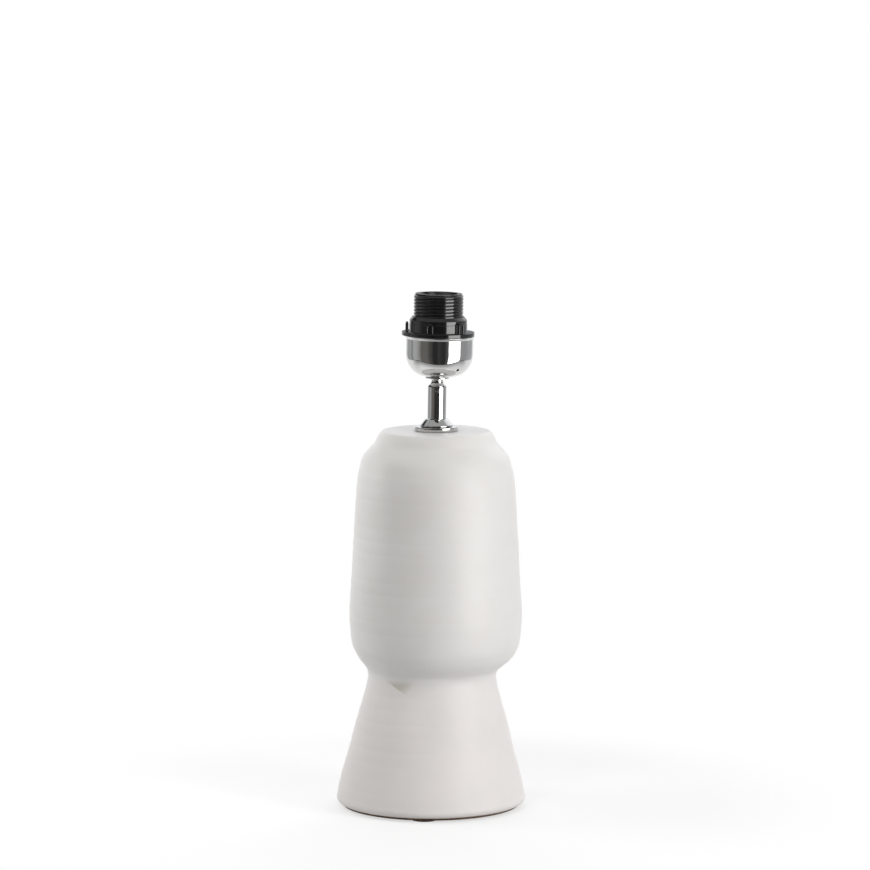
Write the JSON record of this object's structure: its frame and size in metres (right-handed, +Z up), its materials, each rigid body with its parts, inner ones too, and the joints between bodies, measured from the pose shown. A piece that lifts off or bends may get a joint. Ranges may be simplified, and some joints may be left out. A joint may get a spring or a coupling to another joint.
{
  "type": "table lamp base",
  "caption": "Table lamp base with a waisted white ceramic body, chrome stem and cup, and a black E27 lampholder with a shade ring.",
  "frame": {"origin": "on the table under the centre of the foot", "axes": "+Z up along the lamp, -Y is the front, +X to the right"},
  "size_m": [0.155, 0.1547, 0.4244],
  "materials": {
    "ceramic_white": "matte",
    "chrome": "polished",
    "black_plastic": "satin",
    "brown_pad": "matte",
    "black_rubber": "matte",
    "zinc_steel": "satin",
    "brass": "satin",
    "spring_bronze": "satin",
    "white_insulator": "matte"
  },
  "bodies": {
    "stand": {"ceramic_body": "ceramic_white", "base_pad": "brown_pad", "rubber_foot_front": "black_rubber", "rubber_foot_right": "black_rubber", "rubber_foot_left": "black_rubber", "base_plate": "zinc_steel", "plate_washer": "zinc_steel", "plate_lock_washer": "zinc_steel", "plate_nut": "zinc_steel", "lamp_pipe": "zinc_steel", "cable_grommet": "black_rubber", "seat_gasket": "black_rubber", "flange_disc": "chrome", "dome_cap": "chrome", "neck_tube": "chrome", "neck_grub_screw": "zinc_steel", "socket_cup": "chrome", "cup_lock_washer": "zinc_steel", "earth_tag": "brass", "cup_nut": "zinc_steel", "lampholder_cap": "black_plastic", "cap_thread_insert": "brass", "cap_grub_screw": "zinc_steel", "terminal_block": "white_insulator", "live_terminal": "brass", "neutral_terminal": "brass", "live_terminal_screw": "zinc_steel", "neutral_terminal_screw": "zinc_steel", "lampholder_skirt": "black_plastic"},
    "shade_ring": {"shade_ring": "black_plastic"},
    "centre_contact": {"centre_contact": "spring_bronze"},
    "side_contact": {"side_contact": "spring_bronze"}
  },
  "joints": [
    {"name": "shade_ring_lift", "type": "slide", "parent": "stand", "child": "shade_ring", "axis": [0.0169, 0, 0.9999], "range_m": [0, 0.036]},
    {"name": "centre_contact_press", "type": "hinge", "parent": "stand", "child": "centre_contact", "pos_m": [-0.00025, 0, 0.39124], "axis": [0, 1, 0], "range_deg": [0, 14], "stiffness_Nm_per_rad": 0.15},
    {"name": "side_contact_press", "type": "hinge", "parent": "stand", "child": "side_contact", "pos_m": [0.0188, 0, 0.39092], "axis": [0, 1, 0], "range_deg": [0, 5], "stiffness_Nm_per_rad": 0.15}
  ]
}
